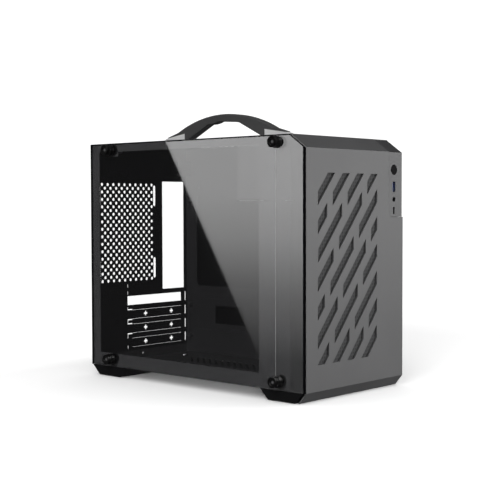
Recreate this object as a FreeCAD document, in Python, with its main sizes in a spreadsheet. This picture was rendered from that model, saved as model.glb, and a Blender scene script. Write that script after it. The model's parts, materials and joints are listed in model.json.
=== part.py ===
import FreeCAD, Part

import math
import os
import re

import Sketcher

# Compact tower computer case with a glass side, a slanted grille in front and a carry handle.
# All places are given in the case's own corner frame, in millimetres: X from the glass face to
# the steel side, Y from the front face to the rear, Z up from the floor. Each finished piece is
# then shifted so that the origin lies at the middle of the whole object's footprint.

SIZES = {
    # outer form
    "case_width": 203.0,
    "case_depth": 383.5,
    "case_height": 321.0,
    "leg_height": 13.7,
    "bevel_depth": 23.8,
    "bevel_height": 16.8,
    "toe_depth": 11.3,
    # sheet metal and general clearances
    "sheet": 1.0,
    "fit_gap": 0.2,
    "edge_gap": 0.5,
    "flange_height": 11.5,
    "top_flange_height": 10.6,
    "post_flange": 7.0,
    # tempered glass side and the four knobs that hold it
    "glass_thick": 4.0,
    "glass_gap": 1.0,
    "glass_drop": 0.6,
    "glass_lift": 0.3,
    "glass_hole_radius": 3.6,
    "knob_front_gap": 14.6,
    "knob_rear_inset": 43.5,
    "knob_top_drop": 9.7,
    "knob_bottom_rise": 11.6,
    "knob_radius": 7.2,
    "knob_cap_radius": 6.8,
    "knob_neck_radius": 5.6,
    "knob_collar": 5.4,
    "knob_neck": 1.5,
    "knob_cap": 4.9,
    "knob_dish_radius": 4.2,
    "knob_dish_depth": 1.6,
    "rim_flats": 20,
    "knob_shaft_radius": 2.95,
    "knob_reach_in": 15.0,
    "washer_thick": 1.5,
    "washer_radius": 6.4,
    "cushion_radius": 7.4,
    "post_radius": 4.6,
    "post_length": 11.0,
    "thread_play": 0.05,
    # window in the frame behind the glass
    "window_front": 74.8,
    "window_rear_inset": 12.7,
    "window_low": 31.6,
    "window_top_inset": 11.6,
    "lobe_half": 8.0,
    "lobe_drop": 18.2,
    # moulded front
    "panel_depth": 24.0,
    "panel_wall": 2.2,
    "panel_side_gap": 0.6,
    "toe_wall": 1.6,
    "toe_lift": 0.6,
    "grille_left": 26.5,
    "grille_right": 146.2,
    "grille_low": 45.3,
    "grille_top_inset": 46.0,
    "band_slope": 1.18,
    "band_pitch": 34.4,
    "band_height": 16.4,
    "band_first": 204.8,
    "bridge": 11.0,
    "slot_run": 46.4,
    "filter_thick": 1.2,
    "filter_margin": 6.0,
    "boss_size": 9.0,
    "boss_end": 20.0,
    "clip_size": 4.8,
    "clip_reach": 6.5,
    "clip_left": 15.0,
    "clip_right": 187.0,
    "clip_upper_right": 160.0,
    "clip_low": 34.0,
    "clip_middle": 160.0,
    "clip_top_inset": 31.0,
    # connector strip on the front's right edge
    "strip_left": 171.2,
    "strip_length": 100.5,
    "strip_recess": 1.0,
    "strip_wall": 2.0,
    "strip_corner": 6.0,
    "port_x": 184.2,
    "button_drop": 39.7,
    "button_radius": 6.3,
    "button_proud": 0.5,
    "button_length": 6.6,
    "button_lip": 1.4,
    "button_lip_thick": 1.2,
    "button_travel": 1.2,
    "usb_a_drop": 61.8,
    "usb_a_height": 13.1,
    "usb_a_width": 6.0,
    "usb_a_depth": 14.0,
    "shell_wall": 0.4,
    "tongue_thick": 1.9,
    "tongue_inset": 1.2,
    "jack_drop": 77.9,
    "jack_radius": 3.0,
    "jack_bore": 1.8,
    "jack_size": 6.6,
    "usb_c_drop": 92.0,
    "usb_c_height": 8.9,
    "usb_c_width": 3.3,
    "board_thick": 1.6,
    "board_low_drop": 97.8,
    "board_high_drop": 30.0,
    "board_front": 6.2,
    "board_rear": 21.5,
    "stud_size": 3.6,
    "stud_length": 9.0,
    "stud_low_drop": 84.4,
    "stud_high_drop": 71.5,
    "small_screw_radius": 1.0,
    "small_head_radius": 2.0,
    "small_head": 1.2,
    # rear wall
    "rear_recess": 4.5,
    "rim_overhang": 4.5,
    "aperture_left": 131.42,
    "aperture_width": 44.45,
    "aperture_low": 112.09,
    "aperture_height": 158.75,
    "slot_left": 62.0,
    "slot_right": 169.7,
    "slot_first_z": 98.9,
    "slot_pitch": 20.32,
    "slot_height": 13.0,
    "cover_inset": 9.0,
    "cover_slit": 0.4,
    "cross_left": 97.3,
    "cross_right": 149.2,
    "cross_span": 7.0,
    "cross_arm": 2.4,
    "tongue_slit_x": 177.2,
    "tongue_slit_width": 2.2,
    "hook_arm": 9.5,
    "hook_width": 1.5,
    "fan_x": 63.2,
    "fan_z": 197.2,
    "fan_spacing": 105.0,
    "fan_travel": 30.0,
    "fan_slot_width": 4.8,
    "perforation_low": 108.0,
    "perforation_high": 118.0,
    "perforation_length": 4.5,
    "wall_hole_x": 91.2,
    "wall_hole_z": 21.2,
    "wall_hole_radius": 1.8,
    "mesh_hole_radius": 2.5,
    "mesh_pitch_x": 10.5,
    "mesh_pitch_z": 10.5,
    "mesh_columns": 10,
    "mesh_rows": 14,
    "ledge_reach": 9.5,
    "ledge_low": 28.0,
    "ledge_high": 112.0,
    "ledge_hole_radius": 1.6,
    "shield_base": 17.0,
    "shield_width": 15.0,
    "shield_screw_x": 40.6,
    "shield_screw_z": 70.5,
    "inlet_x": 162.5,
    "inlet_drop": 30.5,
    "inlet_width": 27.0,
    "inlet_height": 20.0,
    "inlet_flange": 2.0,
    "inlet_depth": 17.0,
    "inlet_wall": 1.5,
    "blade_width": 4.0,
    "blade_thick": 2.0,
    # board tray, seen through the glass
    "tray_face": 180.0,
    "tray_rib": 1.2,
    "cutout_front": 220.0,
    "cutout_rear": 354.5,
    "cutout_low": 116.0,
    "cutout_high": 251.5,
    "cutout_corner": 7.0,
    "hatch_front": 259.3,
    "hatch_rear": 316.4,
    "hatch_low": 61.0,
    "hatch_high": 87.4,
    "cable_front": 48.0,
    "cable_rear": 100.0,
    "cable_low": 60.0,
    "cable_high": 215.0,
    "standoff_height": 6.35,
    "standoff_radius": 2.9,
    "standoff_bore": 1.35,
    # floor and roof vents
    "vent_pitch": 12.0,
    "vent_width": 5.2,
    "floor_vent_left": 60.0,
    "floor_vent_run": 38.0,
    "floor_vent_gap": 7.0,
    "floor_vent_front": 108.0,
    "floor_vent_count": 16,
    "roof_vent_inset": 24.0,
    "roof_vent_run": 48.0,
    "roof_vent_front": 62.0,
    "roof_vent_count": 20,
    # inner front frame with its fan opening and supply window
    "front_fan_x": 102.0,
    "front_fan_z": 88.0,
    "front_fan_radius": 57.0,
    "fan_hole_radius": 2.2,
    "supply_low_drop": 165.0,
    "supply_high_drop": 25.0,
    "supply_left": 30.0,
    "supply_right": 148.0,
    # power supply bracket
    "bracket_drop": 77.0,
    "bracket_rear": 110.0,
    "bracket_top_drop": 12.0,
    "supply_margin": 24.0,
    "supply_edge": 14.0,
    "supply_spacing_x": 138.0,
    "supply_spacing_y": 64.0,
    # drive bracket behind the tray
    "drive_front": 118.0,
    "drive_rear": 208.0,
    "drive_low": 120.0,
    "drive_high": 196.0,
    "drive_lift": 7.0,
    "drive_foot": 9.0,
    "drive_spacing_y": 76.6,
    "drive_spacing_z": 61.72,
    "drive_hole_radius": 1.6,
    # steel side
    "side_tab": 12.0,
    "side_tab_height": 24.0,
    "side_tab_low": 40.0,
    "side_tab_drop": 65.0,
    "side_screw_radius": 1.75,
    "side_knob_radius": 5.6,
    "side_knob_length": 8.0,
    # carry handle
    "handle_y": 218.9,
    "handle_width": 13.0,
    "handle_rise": 38.6,
    "grip_half": 92.0,
    "grip_end_rise": 15.4,
    "tail_thick": 1.6,
    "tail_half": 108.0,
    "mount_inner": 74.4,
    "mount_half": 119.0,
    "mount_top_rise": 15.1,
    "mount_toe_rise": 9.2,
    "mount_knee": 112.0,
    "grip_bevel": 1.8,
    "handle_screw_reach": 86.0,
    "handle_screw_step": 16.0,
    "handle_screw_radius": 1.95,
    # feet
    "front_foot_start": 3.4,
    "front_foot_top": 69.3,
    "front_foot_heel": 14.5,
    "front_foot_end": 56.7,
    "rear_foot_start": 310.9,
    "rear_foot_end": 381.7,
    "rear_foot_low_start": 325.4,
    "rear_foot_low_end": 368.1,
    "foot_lift": 1.0,
    "foot_side_inset": 0.5,
    "pad_width": 30.0,
    "pad_length": 26.0,
    "pad_sink": 1.0,
    "pad_inset": 12.0,
    "foot_screw_inset": 56.0,
    "screw_bite": 5.0,
    "screw_head": 2.4,
}

# Places worked out from the sizes above.
PLACES = {
    "window_high": "case_height - window_top_inset",
    "lobe_low": "case_height - lobe_drop",
    "grille_high": "case_height - grille_top_inset",
    "clip_high": "case_height - clip_top_inset",
    "strip_low": "case_height - strip_length",
    "button_z": "case_height - button_drop",
    "usb_a_z": "case_height - usb_a_drop",
    "jack_z": "case_height - jack_drop",
    "usb_c_z": "case_height - usb_c_drop",
    "board_low": "case_height - board_low_drop",
    "board_high": "case_height - board_high_drop",
    "stud_low_z": "case_height - stud_low_drop",
    "stud_high_z": "case_height - stud_high_drop",
    "inlet_z": "case_height - inlet_drop",
    "supply_low": "case_height - supply_low_drop",
    "supply_high": "case_height - supply_high_drop",
    "bracket_z": "case_height - bracket_drop",
    "bracket_top": "case_height - bracket_top_drop",
    "side_tab_high": "case_height - side_tab_drop",
    "handle_top": "case_height + handle_rise",
    "grip_end_height": "case_height + grip_end_rise",
    "mount_top": "case_height + mount_top_rise",
    "mount_toe": "case_height + mount_toe_rise",
    "frame_left": "glass_thick + glass_gap",
    "chassis_left": "frame_left + sheet",
    "side_face": "case_width - sheet",
    "chassis_right": "side_face - fit_gap",
    "floor_top": "leg_height + sheet",
    "roof_bottom": "case_height - sheet",
    "glass_top": "case_height - glass_drop",
    "glass_low": "leg_height + glass_lift",
    "knob_front_y": "panel_depth + knob_front_gap",
    "knob_rear_y": "case_depth - knob_rear_inset",
    "knob_upper_z": "case_height - knob_top_drop",
    "knob_lower_z": "leg_height + knob_bottom_rise",
    "knob_length": "washer_thick + knob_collar + knob_neck + knob_cap",
    "window_rear": "case_depth - window_rear_inset",
    "panel_left": "glass_thick + panel_side_gap",
    "frame_front": "panel_depth + edge_gap",
    "frame_back": "frame_front + sheet",
    "rim_rear": "case_depth + rim_overhang",
    "rear_outer": "case_depth - rear_recess",
    "rear_inner": "rear_outer - sheet",
    "wall_low": "floor_top + flange_height + edge_gap",
    "wall_high": "roof_bottom - top_flange_height - edge_gap",
    "bevel_slope": "bevel_height / bevel_depth",
    "bevel_inset": "sqrt(1 + (bevel_slope)^2)",
    "strip_back": "strip_recess + strip_wall",
    "board_right": "port_x - usb_a_width / 2",
    "board_left": "board_right - board_thick",
    "bridge_period": "slot_run + bridge",
    "shield_left": "shield_screw_x - shield_base / 2",
    "shield_rear": "rear_outer + ledge_reach + edge_gap + sheet",
    "shield_wall": "slot_left - shield_width",
    "handle_x": "case_width / 2",
    "handle_left": "handle_x - handle_width / 2",
    "handle_right": "handle_x + handle_width / 2",
    "shift_x": "(knob_length - case_width) / 2",
    "shift_y": "-(shield_rear) / 2",
}

# Where the bridges across each slanted band of the front grille begin, along X.
BRIDGE_STARTS = [3.0, 44.2, 73.5, 56.6, 39.6, 64.8, 48.2, 31.3, 60.3, 31.5]

DOC = FreeCAD.newDocument("pc_case")
SHEET = DOC.addObject("Spreadsheet::Sheet", "Sizes")
for row, (alias, number) in enumerate(SIZES.items(), start=1):
    SHEET.set("A%d" % row, alias)
    SHEET.set("B%d" % row, "%g" % number)
    SHEET.setAlias("B%d" % row, alias)
DOC.recompute()

FINISHED = []
WORD = re.compile(r"[a-z][a-z_]*[a-z]\b(?!\()")


def expand(formula, written):
    """Replaces each named place by its formula, and each size by what `written` gives."""
    def swap(match):
        name = match.group()
        if name in PLACES:
            return "(%s)" % expand(PLACES[name], written)
        return written(name)
    return WORD.sub(swap, formula)


def cell(formula):
    """The formula as an expression on the sheet of sizes."""
    return expand(formula, lambda name: "Sizes." + name)


def value(formula):
    """The formula's number with the present sizes."""
    return FreeCAD.Units.Quantity(expand(formula, lambda name: "(%r)" % SIZES[name])).Value


def bind(thing, target, formula):
    """Ties a property or a constraint to the sheet."""
    thing.setExpression(target, cell(formula))


def settle(thing, at=("0", "0", "0")):
    """Places a finished piece in the object's frame and keeps it for writing."""
    bind(thing, "Placement.Base.x", "shift_x + " + at[0])
    bind(thing, "Placement.Base.y", "shift_y + " + at[1])
    bind(thing, "Placement.Base.z", at[2])
    FINISHED.append(thing)


class Polygon:
    """A closed outline with straight sides, through points given as pairs of formulas."""

    def __init__(self, *points):
        self.points = points

    def draw(self, sketch):
        first = sketch.GeometryCount
        count = len(self.points)
        corners = [FreeCAD.Vector(value(a), value(b), 0) for a, b in self.points]
        for index in range(count):
            line = Part.LineSegment(corners[index], corners[(index + 1) % count])
            sketch.addGeometry(line, False)
        for index in range(count):
            following = first + (index + 1) % count
            sketch.addConstraint(Sketcher.Constraint("Coincident", first + index, 2, following, 1))
        for index, point in enumerate(self.points):
            fix_point(sketch, first + index, 1, point)


class Arched:
    """A closed outline whose first side is an arc from the first point to the second."""

    def __init__(self, centre, radius, *points):
        self.centre = centre
        self.radius = radius
        self.points = points

    def draw(self, sketch):
        corners = [FreeCAD.Vector(value(a), value(b), 0) for a, b in self.points]
        middle = FreeCAD.Vector(value(self.centre[0]), value(self.centre[1]), 0)
        angles = [math.atan2(corner.y - middle.y, corner.x - middle.x) for corner in corners[:2]]
        circle = Part.Circle(middle, FreeCAD.Vector(0, 0, 1), value(self.radius))
        first = sketch.addGeometry(Part.ArcOfCircle(circle, *angles), False)
        count = len(corners)
        for index in range(1, count):
            line = Part.LineSegment(corners[index], corners[(index + 1) % count])
            sketch.addGeometry(line, False)
        for index in range(count):
            following = first + (index + 1) % count
            sketch.addConstraint(Sketcher.Constraint("Coincident", first + index, 2, following, 1))
        for index, point in enumerate(self.points):
            fix_point(sketch, first + index, 1, point)
        size = sketch.addConstraint(Sketcher.Constraint("Radius", first, value(self.radius)))
        bind(sketch, "Constraints[%d]" % size, self.radius)


class Rectangle(Polygon):
    """An outline from one corner to the opposite one."""

    def __init__(self, left, low, right, high):
        super().__init__((left, low), (right, low), (right, high), (left, high))


class Rounded:
    """A rectangle with quarter-round corners."""

    def __init__(self, left, low, right, high, radius):
        self.edges = (left, low, right, high)
        self.radius = radius

    def draw(self, sketch):
        left, low, right, high = self.edges
        inner_left = "%s + %s" % (left, self.radius)
        inner_right = "%s - %s" % (right, self.radius)
        inner_low = "%s + %s" % (low, self.radius)
        inner_high = "%s - %s" % (high, self.radius)
        sides = [((inner_left, low), (inner_right, low)), ((right, inner_low), (right, inner_high)),
                 ((inner_right, high), (inner_left, high)), ((left, inner_high), (left, inner_low))]
        centres = [(inner_right, inner_low), (inner_right, inner_high),
                   (inner_left, inner_high), (inner_left, inner_low)]
        first = sketch.GeometryCount
        for start, end in sides:
            ends = [FreeCAD.Vector(value(a), value(b), 0) for a, b in (start, end)]
            sketch.addGeometry(Part.LineSegment(*ends), False)
        for index, (start, end) in enumerate(sides):
            fix_point(sketch, first + index, 1, start)
            fix_point(sketch, first + index, 2, end)
        for index, (across, up) in enumerate(centres):
            middle = FreeCAD.Vector(value(across), value(up), 0)
            circle = Part.Circle(middle, FreeCAD.Vector(0, 0, 1), value(self.radius))
            start = (index - 1) * math.pi / 2
            arc = sketch.addGeometry(Part.ArcOfCircle(circle, start, start + math.pi / 2), False)
            following = first + (index + 1) % len(sides)
            sketch.addConstraint(Sketcher.Constraint("Coincident", arc, 1, first + index, 2))
            sketch.addConstraint(Sketcher.Constraint("Coincident", arc, 2, following, 1))
            size = sketch.addConstraint(Sketcher.Constraint("Radius", arc, value(self.radius)))
            bind(sketch, "Constraints[%d]" % size, self.radius)


class Circle:
    """A round outline."""

    def __init__(self, across, up, radius):
        self.centre = (across, up)
        self.radius = radius

    def draw(self, sketch):
        middle = FreeCAD.Vector(value(self.centre[0]), value(self.centre[1]), 0)
        ring = Part.Circle(middle, FreeCAD.Vector(0, 0, 1), value(self.radius))
        index = sketch.addGeometry(ring, False)
        fix_point(sketch, index, 3, self.centre)
        size = sketch.addConstraint(Sketcher.Constraint("Radius", index, value(self.radius)))
        bind(sketch, "Constraints[%d]" % size, self.radius)


def fix_point(sketch, geometry, end, point):
    """Holds one point of a sketch at its two formulas, counted from the sketch's origin."""
    for kind, formula in zip(("DistanceX", "DistanceY"), point):
        number = value(formula)
        index = sketch.addConstraint(Sketcher.Constraint(kind, -1, 1, geometry, end, number))
        bind(sketch, "Constraints[%d]" % index, formula)


def hexagon(across, up, radius):
    """A six-sided hole with a corner at the top, as a stamped vent has."""
    half_flat = "%s * sqrt(3) / 2" % radius
    half_side = "%s / 2" % radius
    return Polygon(
        (across, "%s + %s" % (up, radius)),
        ("%s - %s" % (across, half_flat), "%s + %s" % (up, half_side)),
        ("%s - %s" % (across, half_flat), "%s - %s" % (up, half_side)),
        (across, "%s - %s" % (up, radius)),
        ("%s + %s" % (across, half_flat), "%s - %s" % (up, half_side)),
        ("%s + %s" % (across, half_flat), "%s + %s" % (up, half_side)))


def cross(across, up, span, arm):
    """A plus-shaped hole for a screwdriver."""
    far = "%s / 2" % span
    near = "%s / 2" % arm
    turns = [(near, far), (near, near), (far, near)]
    corners = []
    for sign_x, sign_y, order in (("+", "+", 1), ("+", "-", -1), ("-", "-", 1), ("-", "+", -1)):
        for step_x, step_y in turns[::order]:
            corners.append(("%s %s %s" % (across, sign_x, step_x), "%s %s %s" % (up, sign_y, step_y)))
    return Polygon(*corners)


class Piece:
    """One body of the case, with its sketches and features tied to the sizes."""

    def __init__(self, label, at=("0", "0", "0"), finished=True):
        self.body = DOC.addObject("PartDesign::Body", label)
        self.body.Label = label
        self.planes = {plane.Role[:2]: plane for plane in self.body.Origin.OriginFeatures}
        if finished:
            settle(self.body, at)

    def sketch(self, plane, level, outlines):
        """Outlines on a plane of the body, at a level along that plane's axis."""
        drawing = self.body.newObject("Sketcher::SketchObject", self.body.Label + "_sketch")
        drawing.AttachmentSupport = (self.planes[plane], "")
        drawing.MapMode = "FlatFace"
        sign = "-" if plane == "XZ" else ""
        bind(drawing, "AttachmentOffset.Base.z", "%s(%s)" % (sign, level))
        for outline in outlines:
            outline.draw(drawing)
        return drawing

    def feature(self, kind, drawing, start, end, backwards):
        """A pad or pocket of a sketch, from its own level to the end level."""
        made = self.body.newObject("PartDesign::" + kind, self.body.Label + "_" + kind.lower())
        made.Profile = drawing
        made.Reversed = backwards
        bind(made, "Length", "(%s) - (%s)" % (end, start))
        return made

    def pad(self, plane, start, end, *outlines):
        """Material between two levels, low to high."""
        drawing = self.sketch(plane, start, outlines)
        return self.feature("Pad", drawing, start, end, plane == "XZ")

    def pocket(self, plane, start, end, *outlines):
        """A cut between two levels, low to high."""
        drawing = self.sketch(plane, start, outlines)
        return self.feature("Pocket", drawing, start, end, plane != "XZ")

    def revolve(self, axis, *points):
        """A turned form about the body's own axis, from points along and away from it."""
        if axis == "X":
            drawing = self.sketch("XY", "0", [Polygon(*points)])
            line = "H_Axis"
        else:
            plane = "XY" if axis == "Y" else "XZ"
            drawing = self.sketch(plane, "0", [Polygon(*[(out, along) for along, out in points])])
            line = "V_Axis"
        turned = self.body.newObject("PartDesign::Revolution", self.body.Label + "_turned")
        turned.Profile = drawing
        turned.ReferenceAxis = (drawing, [line])
        turned.Angle = 360
        return turned

    def repeat(self, feature, across=None, up=None):
        """Copies of a pocket or pad in one or two directions, each a pitch and a count."""
        pattern = self.body.newObject("PartDesign::LinearPattern", self.body.Label + "_pattern")
        pattern.Originals = [feature]
        drawing = feature.Profile[0]
        for suffix, line, run in (("", "H_Axis", across), ("2", "V_Axis", up)):
            setattr(pattern, "Direction" + suffix, (drawing, [line]))
            setattr(pattern, "Mode" + suffix, "Extent")
            if run:
                bind(pattern, "Length" + suffix, "(%s) * (%s - 1)" % run[:2])
                bind(pattern, "Occurrences" + suffix, run[1])
                setattr(pattern, "Reversed" + suffix, len(run) > 2)
            else:
                setattr(pattern, "Occurrences" + suffix, 1)
        self.body.Tip = pattern
        return pattern

    def bevel_edges(self, feature, width, chosen):
        """Bevels the edges of the last feature that the given test picks."""
        DOC.recompute()
        names = ["Edge%d" % number for number, edge in enumerate(feature.Shape.Edges, start=1)
                 if chosen(edge)]
        bevel = self.body.newObject("PartDesign::Chamfer", self.body.Label + "_bevel")
        bevel.Base = (feature, names)
        bind(bevel, "Size", width)
        return bevel


TURNS = {
    "X": FreeCAD.Rotation(FreeCAD.Vector(0, 1, 0), 90),
    "Y": FreeCAD.Rotation(FreeCAD.Vector(1, 0, 0), -90),
    "Z": FreeCAD.Rotation(),
}


def locate(thing, at):
    """Binds the three coordinates of a primitive's place."""
    for axis, formula in zip("xyz", at):
        bind(thing, "Placement.Base." + axis, formula)


def rod(name, axis, at, length, radius):
    """A round bar that starts at a point and runs along an axis."""
    bar = DOC.addObject("Part::Cylinder", name)
    bar.Placement = FreeCAD.Placement(FreeCAD.Vector(), TURNS[axis])
    locate(bar, at)
    bind(bar, "Height", length)
    bind(bar, "Radius", radius)
    return bar


def prism(name, axis, at, length, radius, flats):
    """A bar with flat sides that starts at a point and runs along an axis."""
    bar = DOC.addObject("Part::Prism", name)
    bar.Placement = FreeCAD.Placement(FreeCAD.Vector(), TURNS[axis])
    locate(bar, at)
    bind(bar, "Height", length)
    bind(bar, "Circumradius", radius)
    bind(bar, "Polygon", flats)
    return bar


def block(name, low, high):
    """A rectangular block between two opposite corners."""
    box = DOC.addObject("Part::Box", name)
    locate(box, low)
    for side, start, end in zip(("Length", "Width", "Height"), low, high):
        bind(box, side, "(%s) - (%s)" % (end, start))
    return box


def join(name, things):
    """Fuses several solids; those that lie apart stay separate solids of one piece."""
    fused = DOC.addObject("Part::MultiFuse", name)
    fused.Shapes = things
    return fused


def subtract(name, base, tool):
    """One solid without another."""
    remainder = DOC.addObject("Part::Cut", name)
    remainder.Base = base
    remainder.Tool = tool
    return remainder


def finish(thing, label):
    """Names a piece made of primitives and sends it to its place."""
    thing.Label = label
    settle(thing)
    return thing


def fastener(name, axis, at, shaft, shaft_radius, head, head_radius, downwards=False):
    """A plain screw: a six-sided head on one side of the seat, and a shaft on the other side."""
    index = "XYZ".index(axis)
    head_start = list(at)
    stem_start = list(at)
    if downwards:
        stem_start[index] = "%s - (%s)" % (at[index], shaft)
    else:
        head_start[index] = "%s - (%s)" % (at[index], head)
    top = prism(name + "_head", axis, head_start, head, head_radius, "6")
    stem = rod(name + "_stem", axis, stem_start, shaft, shaft_radius)
    return [top, stem]


def knurled(name, axis, at, rims, neck_radius, shaft_start, shaft_length, shaft_radius):
    """A thumbscrew: flat-sided rims given as start, end and radius, a neck between and a shaft."""
    index = "XYZ".index(axis)

    def moved(away):
        start = list(at)
        start[index] = "%s + %s" % (at[index], away)
        return start
    forms = [prism(name + "_rim", axis, moved(start), "(%s) - (%s)" % (end, start), radius, "rim_flats")
             for start, end, radius in rims]
    neck_start, neck_end = rims[0][1], rims[1][0]
    forms.append(prism(name + "_neck", axis, moved(neck_start),
                       "(%s) - (%s)" % (neck_end, neck_start), neck_radius, "rim_flats / 2"))
    forms.append(rod(name + "_shaft", axis, moved(shaft_start), shaft_length, shaft_radius))
    return join(name + "_forms", forms)


KNOBS = {
    "front_upper": ("knob_front_y", "knob_upper_z"),
    "front_lower": ("knob_front_y", "knob_lower_z"),
    "rear_upper": ("knob_rear_y", "knob_upper_z"),
    "rear_lower": ("knob_rear_y", "knob_lower_z"),
}


def ring(name, at, length, radius, bore):
    """A flat ring round a knob's shaft, along X."""
    disc = prism(name + "_disc", "X", at, length, radius, "rim_flats")
    hole = prism(name + "_hole", "X", at, length, bore, "rim_flats / 2")
    return subtract(name, disc, hole)


def make_glass_side():
    """The glass with its knobs, washers, cushions and threaded posts."""
    glass = Piece("glass_panel")
    outline = Polygon(
        ("0", "glass_low"), ("case_depth", "glass_low"), ("case_depth", "glass_top"),
        ("bevel_depth", "glass_top"), ("0", "glass_top - bevel_height"))
    holes = [Circle(y, z, "glass_hole_radius") for y, z in KNOBS.values()]
    glass.pad("YZ", "0", "glass_thick", outline, *holes)

    washers = []
    cushions = []
    posts = []
    for name, (y, z) in KNOBS.items():
        collar = "(-washer_thick - knob_collar)"
        neck = "(-washer_thick - knob_collar - knob_neck)"
        face = "(-knob_length)"
        rims = [(face, neck, "knob_cap_radius"), (collar, "(-washer_thick)", "knob_radius")]
        forms = knurled("knob", "X", ("0", y, z), rims, "knob_neck_radius", "(-washer_thick - 1)",
                        "washer_thick + 1 + knob_reach_in", "knob_shaft_radius")
        dish = prism("knob_dish", "X", (face + " - 1", y, z), "knob_dish_depth + 1",
                     "knob_dish_radius", "rim_flats")
        finish(subtract("knob_cut", forms, dish), "glass_thumbscrew_" + name)
        washers.append(ring("washer", ("-washer_thick", y, z), "washer_thick", "washer_radius",
                            "glass_hole_radius"))
        cushions.append(ring("cushion", ("glass_thick", y, z), "glass_gap", "cushion_radius",
                             "post_radius"))
        body = prism("post_body", "X", ("chassis_left", y, z), "post_length", "post_radius", "8")
        thread = rod("post_thread", "X", ("chassis_left", y, z), "post_length",
                     "knob_shaft_radius + thread_play")
        posts.append(subtract("post", body, thread))
    finish(join("washer_set", washers), "glass_washers")
    finish(join("cushion_set", cushions), "glass_cushions")
    finish(join("post_set", posts), "glass_posts")


def make_side_frame():
    """The stamped frame behind the glass, with the wide window that the glass closes."""
    frame = Piece("glass_side_frame")
    outline = Rectangle("frame_front", "floor_top", "rim_rear", "roof_bottom")
    window = Polygon(
        ("window_front", "window_low"), ("window_rear", "window_low"), ("window_rear", "window_high"),
        ("knob_rear_y + lobe_half", "window_high"), ("knob_rear_y + lobe_half", "lobe_low"),
        ("knob_rear_y - lobe_half", "lobe_low"), ("knob_rear_y - lobe_half", "window_high"),
        ("window_front", "window_high"))
    holes = [Circle(y, z, "glass_hole_radius") for y, z in KNOBS.values()]
    frame.pad("YZ", "frame_left", "chassis_left", outline, window, *holes)


def vent(left, front, run):
    """A slot at 45 degrees whose ends run front to rear."""
    return Polygon((left, front), ("%s + %s" % (left, run), "%s + %s" % (front, run)),
                   ("%s + %s" % (left, run), "%s + %s + vent_width" % (front, run)),
                   (left, "%s + vent_width" % front))


def notches(height):
    """Round notches in the left flange of floor or roof, for the posts at this height."""
    return [Circle(y, height, "post_radius + edge_gap") for y in ("knob_front_y", "knob_rear_y")]


def make_floor():
    """The floor pan: a plate with raised edges and two rows of slanted vents."""
    floor = Piece("bottom_panel")
    holes = [Circle(x, y, "fan_hole_radius") for name in FOOT_BARS for x, y in foot_screw_points(name)]
    floor.pad("XY", "leg_height", "floor_top",
              Rectangle("frame_left", "frame_front", "chassis_right", "rim_rear"), *holes)
    floor.pad("XY", "floor_top", "floor_top + flange_height",
              Rectangle("chassis_left", "frame_back", "chassis_right", "rear_inner"),
              Rectangle("chassis_left + sheet", "frame_back + sheet", "chassis_right - sheet",
                        "rear_inner - sheet"))
    floor.pocket("YZ", "chassis_left", "chassis_left + sheet", *notches("knob_lower_z"))
    floor.pocket("XZ", "rear_inner - sheet", "rear_inner",
                 Circle("wall_hole_x", "wall_hole_z", "wall_hole_radius"))
    slots = floor.pocket("XY", "leg_height", "floor_top",
                         vent("floor_vent_left", "floor_vent_front", "floor_vent_run"))
    floor.repeat(slots, across=("floor_vent_run + floor_vent_gap", "2"),
                 up=("vent_pitch", "floor_vent_count"))


def make_roof():
    """The roof pan, with vents on both sides of the handle and holes for its screws."""
    roof = Piece("top_panel")
    holes = [Circle(x, y, "fan_hole_radius") for x, y in handle_screw_points()]
    roof.pad("XY", "roof_bottom", "case_height",
             Rectangle("frame_left", "frame_front", "chassis_right", "rim_rear"), *holes)
    roof.pad("XY", "roof_bottom - top_flange_height", "roof_bottom",
             Rectangle("chassis_left", "frame_back", "chassis_right", "rear_inner"),
             Rectangle("chassis_left + sheet", "frame_back + sheet", "chassis_right - sheet",
                       "rear_inner - sheet"))
    roof.pocket("YZ", "chassis_left", "chassis_left + sheet", *notches("knob_upper_z"))
    slots = roof.pocket("XY", "roof_bottom", "case_height",
                        vent("roof_vent_inset", "roof_vent_front", "roof_vent_run"))
    roof.repeat(slots, across=("case_width - 2 * roof_vent_inset - roof_vent_run", "2"),
                up=("vent_pitch", "roof_vent_count"))


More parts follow.
